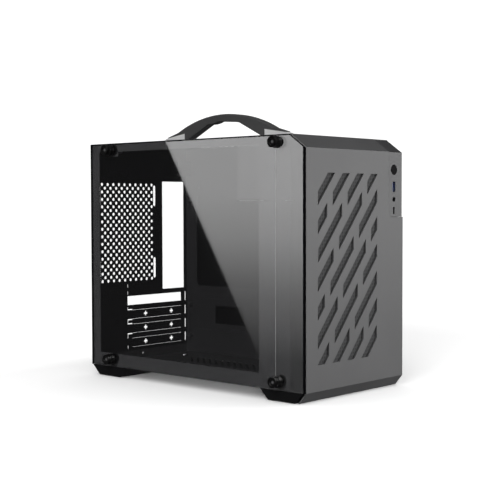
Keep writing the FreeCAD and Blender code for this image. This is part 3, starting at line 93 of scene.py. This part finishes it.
def colour_ramp(tree, source, stops):
    """The colour that a value picks between stops, each a position and a colour."""
    ramp = node(tree, "ShaderNodeValToRGB")
    elements = ramp.color_ramp.elements
    while len(elements) < len(stops):
        elements.new(0.5)
    for element, (position, colour) in zip(elements, stops):
        element.position = position
        element.color = (*colour, 1)
    tree.links.new(source, ramp.inputs["Fac"])
    return ramp.outputs["Color"]


def split_vector(tree, vector):
    """The X, Y and Z outputs of a vector."""
    split = node(tree, "ShaderNodeSeparateXYZ")
    tree.links.new(vector, split.inputs["Vector"])
    return split.outputs


def mix_shaders(tree, factor, first, second):
    """The mix of two shaders, from the first at 0 to the second at 1."""
    mix = node(tree, "ShaderNodeMixShader")
    for socket, source in zip(mix.inputs, (factor, first, second)):
        tree.links.new(source, socket)
    return mix.outputs["Shader"]


def noise(tree, scale, detail=2):
    """Noise that is fixed to the piece."""
    place = node(tree, "ShaderNodeTexCoord")
    made = node(tree, "ShaderNodeTexNoise")
    made.inputs["Scale"].default_value = scale
    made.inputs["Detail"].default_value = detail
    tree.links.new(place.outputs["Object"], made.inputs["Vector"])
    return made.outputs["Fac"]


def rounded_edges(tree, radius):
    """A normal that makes sharp edges look rounded."""
    bevel = node(tree, "ShaderNodeBevel", samples=4)
    bevel.inputs["Radius"].default_value = radius
    return bevel.outputs["Normal"]


# Materials of the case

GLOSS_SPREAD = 0.06
LEAST_ROUGHNESS = 0.02
TINT_SPREAD = 0.08


def grained(name, colour, roughness, size=0.35 * MM, height=0.004 * MM, edge=0.0, **sockets):
    """A solid material with fine bumps, a little uneven gloss and a faint cloudiness of colour."""
    material, tree, shader = base_material(name, colour, roughness, **sockets)
    bump = node(tree, "ShaderNodeBump")
    bump.inputs["Strength"].default_value = 0.5
    bump.inputs["Distance"].default_value = height
    tree.links.new(noise(tree, scale=1 / size, detail=3), bump.inputs["Height"])
    if edge:
        tree.links.new(rounded_edges(tree, edge), bump.inputs["Normal"])
    tree.links.new(bump.outputs["Normal"], shader.inputs["Normal"])

    cloud = noise(tree, scale=14, detail=5)
    gloss = map_range(tree, cloud, low=max(roughness - GLOSS_SPREAD, LEAST_ROUGHNESS),
                      high=roughness + GLOSS_SPREAD)
    tree.links.new(gloss, shader.inputs["Roughness"])
    darker, paler = ([part * share for part in colour]
                     for share in (1 - TINT_SPREAD, 1 + TINT_SPREAD))
    tint = colour_ramp(tree, cloud, [(0.3, darker), (0.7, paler)])
    tree.links.new(tint, shader.inputs["Base Color"])
    return material


# A wave texture of scale 1 turns through this many radians in each unit of length.
WAVE_RADIANS = 20


def woven_filter(name, colour, pitch):
    """A dust filter: a square weave of dark thread over darker gaps."""
    material, tree, shader = base_material(name, colour, roughness=0.7)
    place = node(tree, "ShaderNodeTexCoord")
    threads = []
    for direction in ("X", "Z"):
        wave = node(tree, "ShaderNodeTexWave", bands_direction=direction)
        wave.inputs["Scale"].default_value = math.tau / pitch / WAVE_RADIANS
        tree.links.new(place.outputs["Object"], wave.inputs["Vector"])
        threads.append(wave.outputs["Fac"])
    weave = math_step(tree, "MAXIMUM", *threads)
    gap = [part / 4 for part in colour]
    shade = colour_ramp(tree, weave, [(0.0, gap), (1.0, colour)])
    tree.links.new(shade, shader.inputs["Base Color"])
    bump = node(tree, "ShaderNodeBump")
    bump.inputs["Distance"].default_value = 0.1 * MM
    tree.links.new(weave, bump.inputs["Height"])
    tree.links.new(bump.outputs["Normal"], shader.inputs["Normal"])
    return material


# Width of the band along the glass's front and top that is painted black as shade.
PAINTED_EDGE_BAND = 1.4 * MM


def smoked_glass(name):
    """Dark tinted glass: each face lets half of the light through, and its edges are painted black.

    Painted shade: the cut faces in front and behind, and a narrow dull band along front and top,
    are opaque and black, standing in for the light that the glass swallows along its edges.
    """
    material, tree, shader = base_material(name, (0.006, 0.006, 0.007), roughness=0.02,
                                           Alpha=0.5, IOR=2.2)
    facing = split_vector(tree, node(tree, "ShaderNodeNewGeometry").outputs["True Normal"])
    # Painted shade: mask of the glass's edges, which are made opaque, black and without reflection.
    edge = math_step(tree, "GREATER_THAN", math_step(tree, "ABSOLUTE", facing["Y"]), 0.5)
    share = split_vector(tree, node(tree, "ShaderNodeTexCoord").outputs["Generated"])
    near_front = PAINTED_EDGE_BAND / (GLASS_HIGH.y - GLASS_LOW.y)
    near_top = 1 - PAINTED_EDGE_BAND / (GLASS_HIGH.z - GLASS_LOW.z)
    for operation, axis, limit in (("LESS_THAN", "Y", near_front), ("GREATER_THAN", "Z", near_top)):
        band = math_step(tree, operation, share[axis], limit)
        edge = math_step(tree, "MAXIMUM", edge, band)
    half = math_step(tree, "MULTIPLY", edge, 0.5)
    tree.links.new(math_step(tree, "ADD", 0.5, half), shader.inputs["Alpha"])
    tree.links.new(math_step(tree, "SUBTRACT", 0.5, half), shader.inputs["Specular IOR Level"])
    smear = map_range(tree, noise(tree, scale=9), low=0.01, high=0.035)
    tree.links.new(smear, shader.inputs["Roughness"])
    return material


def knob_look(name):
    """Black lacquered metal with soft glints on its edges, and a painted glint: a paler spot in the
    middle of the face, where the recess catches light.
    """
    dark, glint_grey = (0.004, 0.004, 0.004), (0.16, 0.16, 0.165)
    material, tree, shader = base_material(name, dark, roughness=0.3, Coat_Weight=1.0,
                                           Coat_Roughness=0.1)
    soft = rounded_edges(tree, 0.7 * MM)
    for socket in ("Normal", "Coat Normal"):
        tree.links.new(soft, shader.inputs[socket])
    # The distance from the knob's axis, in shares of its width.
    place = node(tree, "ShaderNodeTexCoord")
    across = node(tree, "ShaderNodeVectorMath", operation="MULTIPLY")
    across.inputs[1].default_value = (0, 1, 1)
    middle = node(tree, "ShaderNodeVectorMath", operation="DISTANCE")
    middle.inputs[1].default_value = (0, 0.5, 0.5)
    tree.links.new(place.outputs["Generated"], across.inputs[0])
    tree.links.new(across.outputs["Vector"], middle.inputs[0])
    # Painted glint: the middle of the face is paler, standing in for the light that the recess
    # catches.
    painted_glint = colour_ramp(tree, middle.outputs["Value"], [(0.09, glint_grey), (0.16, dark)])
    tree.links.new(painted_glint, shader.inputs["Base Color"])
    return material


MATERIALS = {
    "steel": grained("powder_coated_steel", (0.03, 0.03, 0.031), roughness=0.55,
                     height=0.002 * MM),
    # Painted light: the frame behind the glass is the same powder-coated steel, made paler to stand
    # in for the light that falls on it.
    "frame_steel": grained("frame_coating_painted_light", (0.054, 0.054, 0.056), roughness=0.5,
                           height=0.002 * MM),
    # Painted shade: the tray is the same powder-coated steel, made darker to stand in for the shade
    # it lies in.
    "tray_steel": grained("tray_coating_painted_shade", (0.015, 0.015, 0.016), roughness=0.4,
                          height=0.002 * MM),
    "front_plastic": grained("front_moulding", (0.095, 0.095, 0.097), roughness=0.5,
                             edge=0.5 * MM),
    "glass": smoked_glass("smoked_glass"),
    "knob_metal": knob_look("black_knob"),
    "rubber": grained("black_rubber", (0.012, 0.012, 0.012), roughness=0.75, size=0.4 * MM,
                      height=0.04 * MM),
    "zinc": grained("zinc_plate", (0.55, 0.55, 0.57), roughness=0.34, size=0.3 * MM,
                    height=0.01 * MM, Metallic=1.0),
    "brass": grained("brass", (0.72, 0.53, 0.25), roughness=0.3, size=0.3 * MM,
                     height=0.01 * MM, Metallic=1.0),
    "filter": woven_filter("dust_filter", (0.045, 0.045, 0.047), pitch=4.4 * MM),
    "trim_plastic": grained("trim_moulding", (0.007, 0.007, 0.008), roughness=0.42,
                            size=0.4 * MM, height=0.02 * MM, edge=0.4 * MM),
    "grip_plastic": grained("grip_moulding", (0.08, 0.08, 0.081), roughness=0.5,
                            height=0.03 * MM, edge=0.8 * MM),
    "mount_plastic": grained("mount_moulding", (0.8, 0.8, 0.8), roughness=0.5,
                             height=0.02 * MM, edge=0.5 * MM),
    "strip_plastic": grained("strip_moulding", (0.056, 0.056, 0.058), roughness=0.45,
                             edge=0.4 * MM),
    "usb_blue": grained("blue_tongue", (0.02, 0.06, 0.24), roughness=0.4, size=0.3 * MM,
                        height=0.01 * MM),
    "board": grained("circuit_board", (0.01, 0.06, 0.03), roughness=0.4, size=0.3 * MM,
                     height=0.01 * MM),
}

for part in frame["record"]["subparts"]:
    thing = NODES[part["node"]]
    thing.data.materials.clear()
    thing.data.materials.append(MATERIALS[part["material_slot"]])

# The glass doesn't mirror the knobs that stand on it.
for name, thing in NODES.items():
    if name.startswith("glass_thumbscrew"):
        thing.visible_glossy = False


# Hairlines printed on the glass

def add_object(name, data):
    """A new object in the scene."""
    thing = bpy.data.objects.new(name, data)
    bpy.context.scene.collection.objects.link(thing)
    return thing


# Two opposite corners of each hairline, in millimetres from the glass's front edge and the floor.
HAIRLINES = {
    "upright": ((43.6, 31.0), (43.95, 302.0)),
    "level_rear": ((61.9, 241.6), (102.3, 241.95)),
    "level_front": ((16.8, 241.6), (28.7, 241.95)),
}
INK_THICK = 0.02 * MM
ink = grained("pale_ink", (0.6, 0.6, 0.6), roughness=0.5, size=0.3 * MM, height=0.001 * MM)
for name, ((near, low), (far, high)) in HAIRLINES.items():
    ring = [(near, low), (far, low), (far, high), (near, high)]
    corners = [(x, GLASS_LOW.y + y * MM, z * MM)
               for x in (GLASS_LOW.x - INK_THICK, GLASS_LOW.x) for y, z in ring]
    sides = [(0, 3, 2, 1), (4, 5, 6, 7)]
    sides += [(turn, (turn + 1) % 4, (turn + 1) % 4 + 4, turn + 4) for turn in range(4)]
    mesh = bpy.data.meshes.new("hairline_" + name)
    mesh.from_pydata(corners, [], sides)
    mesh.materials.append(ink)
    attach(add_object("hairline_" + name, mesh), "glass_side")


# Stage

# How bright the white surroundings look by themselves, and how bright they are behind the glass,
# so that they stay white through it.
WHITE = 1.15
WHITE_BEHIND = 4.05


def white_level(tree):
    """An output that holds the level of the white surroundings for the present ray."""
    path = node(tree, "ShaderNodeLightPath")
    behind = math_step(tree, "GREATER_THAN", path.outputs["Transparent Depth"], 0.5)
    return math_step(tree, "MULTIPLY_ADD", behind, WHITE_BEHIND - WHITE, WHITE)


def glow_material(name):
    """A surface that shines by itself."""
    material = bpy.data.materials.new(name)
    material.use_nodes = True
    tree = material.node_tree
    tree.nodes.clear()
    glow = node(tree, "ShaderNodeEmission")
    out = node(tree, "ShaderNodeOutputMaterial")
    tree.links.new(glow.outputs["Emission"], out.inputs["Surface"])
    return material, tree, glow


def flat_mesh(name, corners, material):
    """A piece of the stage: a single flat face through the given corners."""
    mesh = bpy.data.meshes.new(name)
    mesh.from_pydata(corners, [], [tuple(range(len(corners)))])
    mesh.materials.append(material)
    thing = add_object(name, mesh)
    return thing


def level_rectangle(name, reach_x, reach_y, height, material):
    """A level piece of the stage, at one height over the ground."""
    (left, right), (front, rear) = reach_x, reach_y
    ring = [(left, front), (right, front), (right, rear), (left, rear)]
    return flat_mesh(name, [(x, y, height) for x, y in ring], material)


# The floor round the object shows its shadow. The far floor is as bright as the backdrop, so that
# it stays white behind the dark glass. The first fades into plain white towards the far floor, and
# with its distance from the middle of the case.
SPAN = 9.0
SEAM_START, SEAM = 0.26, 0.42
FADE_START, FADE_END = 0.6, 1.1


def fading_floor():
    """Pale floor that fades into the level of the white surroundings."""
    material, tree, shader = base_material("pale_floor", (0.86, 0.86, 0.86), roughness=0.9)
    place = node(tree, "ShaderNodeNewGeometry").outputs["Position"]
    reach = node(tree, "ShaderNodeVectorMath", operation="LENGTH")
    tree.links.new(place, reach.inputs[0])
    away = map_range(tree, reach.outputs["Value"], FADE_START, FADE_END, shape="SMOOTHSTEP")
    behind = map_range(tree, split_vector(tree, place)["Y"], SEAM_START, SEAM, shape="SMOOTHSTEP")
    glow = node(tree, "ShaderNodeEmission")
    tree.links.new(white_level(tree), glow.inputs["Strength"])
    fade = math_step(tree, "MAXIMUM", away, behind)
    floor = mix_shaders(tree, fade, shader.outputs["BSDF"], glow.outputs["Emission"])
    tree.links.new(floor, tree.nodes["Material Output"].inputs["Surface"])
    return material


def white_floor():
    """Floor that only shows the level of the white surroundings."""
    material, tree, glow = glow_material("far_floor_white")
    tree.links.new(white_level(tree), glow.inputs["Strength"])
    return material


for name, reach_y, material in (("near_floor", (-SPAN, SEAM), fading_floor()),
                                ("far_floor", (SEAM, SPAN), white_floor())):
    floor = level_rectangle(name, (-SPAN, SPAN), reach_y, 0, material)
    floor.visible_glossy = False
    floor.visible_diffuse = False

# Painted shade: a dark card on the ground, hidden between the feet, stands in for the shade under
# the case and shows through the slots of the case's floor.
painted_shade_card, _, _ = base_material("painted_shade_card", (0.06, 0.06, 0.06), roughness=0.9)
level_rectangle("painted_shade_ground_card", reach_x=(0.02, 0.107), reach_y=(-0.12, 0.112), height=0.005,
                material=painted_shade_card)

# The bright card whose slanted edge shows in the glass. It stands upright to the left of the case
# and further back than its rear, and brightens from its foot up by the levels given here, each at
# a share of its height.
CARD_X = -1.595
CARD_FOOT, CARD_TOP = -0.5, 0.7
CARD_FRONT = 0.9
SLANT_FOOT, SLANT_TOP = 1.041, 1.767
CARD_STRENGTH = 3.0
CARD_LEVELS = [(0.0, 0.0), (0.23, 0.035), (0.38, 0.28), (0.43, 0.41), (0.53, 0.72), (0.63, 0.92),
               (0.8, 1.0)]


def card_glow():
    """The card's glow, which changes with its height."""
    material, tree, glow = glow_material("card_glow")
    glow.inputs["Strength"].default_value = CARD_STRENGTH
    height = split_vector(tree, node(tree, "ShaderNodeTexCoord").outputs["Generated"])["Z"]
    stops = [(share, (level, level, level)) for share, level in CARD_LEVELS]
    tree.links.new(colour_ramp(tree, height, stops), glow.inputs["Color"])
    return material


card_ring = [(SLANT_FOOT, CARD_FOOT), (CARD_FRONT, CARD_FOOT), (CARD_FRONT, CARD_TOP),
             (SLANT_TOP, CARD_TOP)]
card = flat_mesh("reflected_card", [(CARD_X, y, z) for y, z in card_ring], card_glow())
for ray in ("camera", "diffuse", "shadow", "transmission"):
    setattr(card, "visible_" + ray, False)


# Lights

def only(name, *pieces):
    """A collection that keeps a light to some pieces."""
    made = bpy.data.collections.new(name)
    for piece in pieces:
        made.objects.link(bpy.data.objects[piece])
    return made


def all_but(name, *pieces):
    """A collection that keeps a light away from some pieces."""
    made = only(name, *pieces)
    for linked in made.collection_objects:
        linked.light_linking.link_state = "EXCLUDE"
    return made


def area_light(name, place, target, width, height, power, receivers=None, blockers=None):
    """A soft rectangular light that faces a target."""
    lamp = bpy.data.lights.new(name, "AREA")
    lamp.shape = "RECTANGLE"
    lamp.size = width
    lamp.size_y = height
    lamp.energy = power
    thing = add_object(name, lamp)
    thing.location = place
    thing.rotation_mode = "QUATERNION"
    thing.rotation_quaternion = (Vector(target) - Vector(place)).to_track_quat("-Z", "Y")
    thing.light_linking.receiver_collection = receivers
    thing.light_linking.blocker_collection = blockers


card.light_linking.receiver_collection = only("only_glass", "glass_panel")

# A very wide light from above, for the floor alone.
SUN_STRENGTH = 1.9
SUN_WIDTH = math.radians(150)
lamp = bpy.data.lights.new("near_floor_light", "SUN")
lamp.energy = SUN_STRENGTH
lamp.angle = SUN_WIDTH
sun = add_object("near_floor_light", lamp)
sun.light_linking.receiver_collection = only("near_floor_light_receiver", "near_floor")

area_light("overhead_softbox", place=(-0.3, -0.2, 2.0), target=(0, 0, 0),
           width=1.6, height=1.6, power=1)
# The front light spares the glass, the power button and the ports.
area_light("front_softbox", place=(1.15, -1.25, 0.38), target=(0.0, -0.2, 0.25),
           width=0.7, height=0.7, power=9.4,
           receivers=all_but("out_of_front_light", "glass_panel", "power_button", "audio_jack",
                             "usb_a_shell", "usb_c_shell", "usb_c_tongue"))
# The white table in front throws a little light up.
area_light("table_bounce", place=(0.35, -1.1, 0.02), target=(0.0, -0.2, 0.15),
           width=0.9, height=0.9, power=3,
           receivers=all_but("out_of_bounce", "glass_panel", "audio_jack", "usb_c_shell"))
area_light("side_softbox", place=(-1.9, -0.9, 1.3), target=(0.0, 0.0, 0.15),
           width=0.9, height=0.9, power=18)
# A low light that reaches the ground under the body's edge.
area_light("ground_fill", place=(-1.6, -1.3, 0.27), target=(0.0, 0.0, 0.0),
           width=1.2, height=0.3, power=62, receivers=only("ground", "near_floor"))
# A light for what lies behind the glass, which the glass doesn't dim.
area_light("inner_softbox", place=(-2.0, -0.45, 0.75), target=(0.0, 0.0, 0.18),
           width=0.8, height=0.8, power=95,
           receivers=only("behind_the_glass", "glass_side_frame", "motherboard_tray",
                          "bottom_panel", "top_panel", "psu_bracket", "motherboard_standoffs",
                          "drive_bracket"),
           blockers=all_but("clear_for_inner_light", "glass_panel"))
# A light from behind that grazes the moulding's side under the glass and misses its face.
area_light("rim_softbox", place=(-1.5, 0.6, 0.3), target=(-0.09, -0.18, 0.16),
           width=0.5, height=0.5, power=15, receivers=only("moulding_side", "front_panel"),
           blockers=all_but("clear_for_rim_light", "glass_panel"))

# How strongly the surroundings light the scene, and how bright they are in a mirror image.
AMBIENT = 0.35
MIRRORED = 0.04


def surroundings():
    """White round the object for the camera, and a dim light for everything else."""
    world = bpy.data.worlds.new("studio")
    world.use_nodes = True
    tree = world.node_tree
    tree.nodes.clear()
    seen, felt, mirrored = (node(tree, "ShaderNodeBackground") for _ in range(3))
    for background in (seen, felt, mirrored):
        background.inputs["Color"].default_value = (1, 1, 1, 1)
    tree.links.new(white_level(tree), seen.inputs["Strength"])
    felt.inputs["Strength"].default_value = AMBIENT
    mirrored.inputs["Strength"].default_value = MIRRORED
    path = node(tree, "ShaderNodeLightPath").outputs
    unseen = mix_shaders(tree, path["Is Glossy Ray"], felt.outputs["Background"],
                         mirrored.outputs["Background"])
    either = mix_shaders(tree, path["Is Camera Ray"], unseen, seen.outputs["Background"])
    out = node(tree, "ShaderNodeOutputWorld")
    tree.links.new(either, out.inputs["Surface"])
    return world


bpy.context.scene.world = surroundings()


# Camera

# The photograph's viewpoint: place in metres, then turns in degrees.
CAMERA_PLACE = (-1.11682, -1.03265, 0.23885)
YAW, PITCH, ROLL = (math.radians(turn) for turn in (-47.93, -2.38, -0.14))
FOCAL_LENGTH, SENSOR_WIDTH = 81.305, 36
look = Vector((-math.sin(YAW) * math.cos(PITCH), math.cos(YAW) * math.cos(PITCH), math.sin(PITCH)))
level_right = look.cross(Vector((0, 0, 1))).normalized()
level_up = level_right.cross(look)
right = level_right * math.cos(ROLL) + level_up * math.sin(ROLL)
up = -level_right * math.sin(ROLL) + level_up * math.cos(ROLL)
lens = bpy.data.cameras.new("camera")
lens.sensor_width = SENSOR_WIDTH
lens.lens = FOCAL_LENGTH
camera = add_object("camera", lens)
camera.matrix_world = Matrix((
    (right.x, up.x, -look.x, CAMERA_PLACE[0]),
    (right.y, up.y, -look.y, CAMERA_PLACE[1]),
    (right.z, up.z, -look.z, CAMERA_PLACE[2]),
    (0, 0, 0, 1)))
bpy.context.scene.camera = camera
bpy.context.scene.view_settings.view_transform = "Standard"
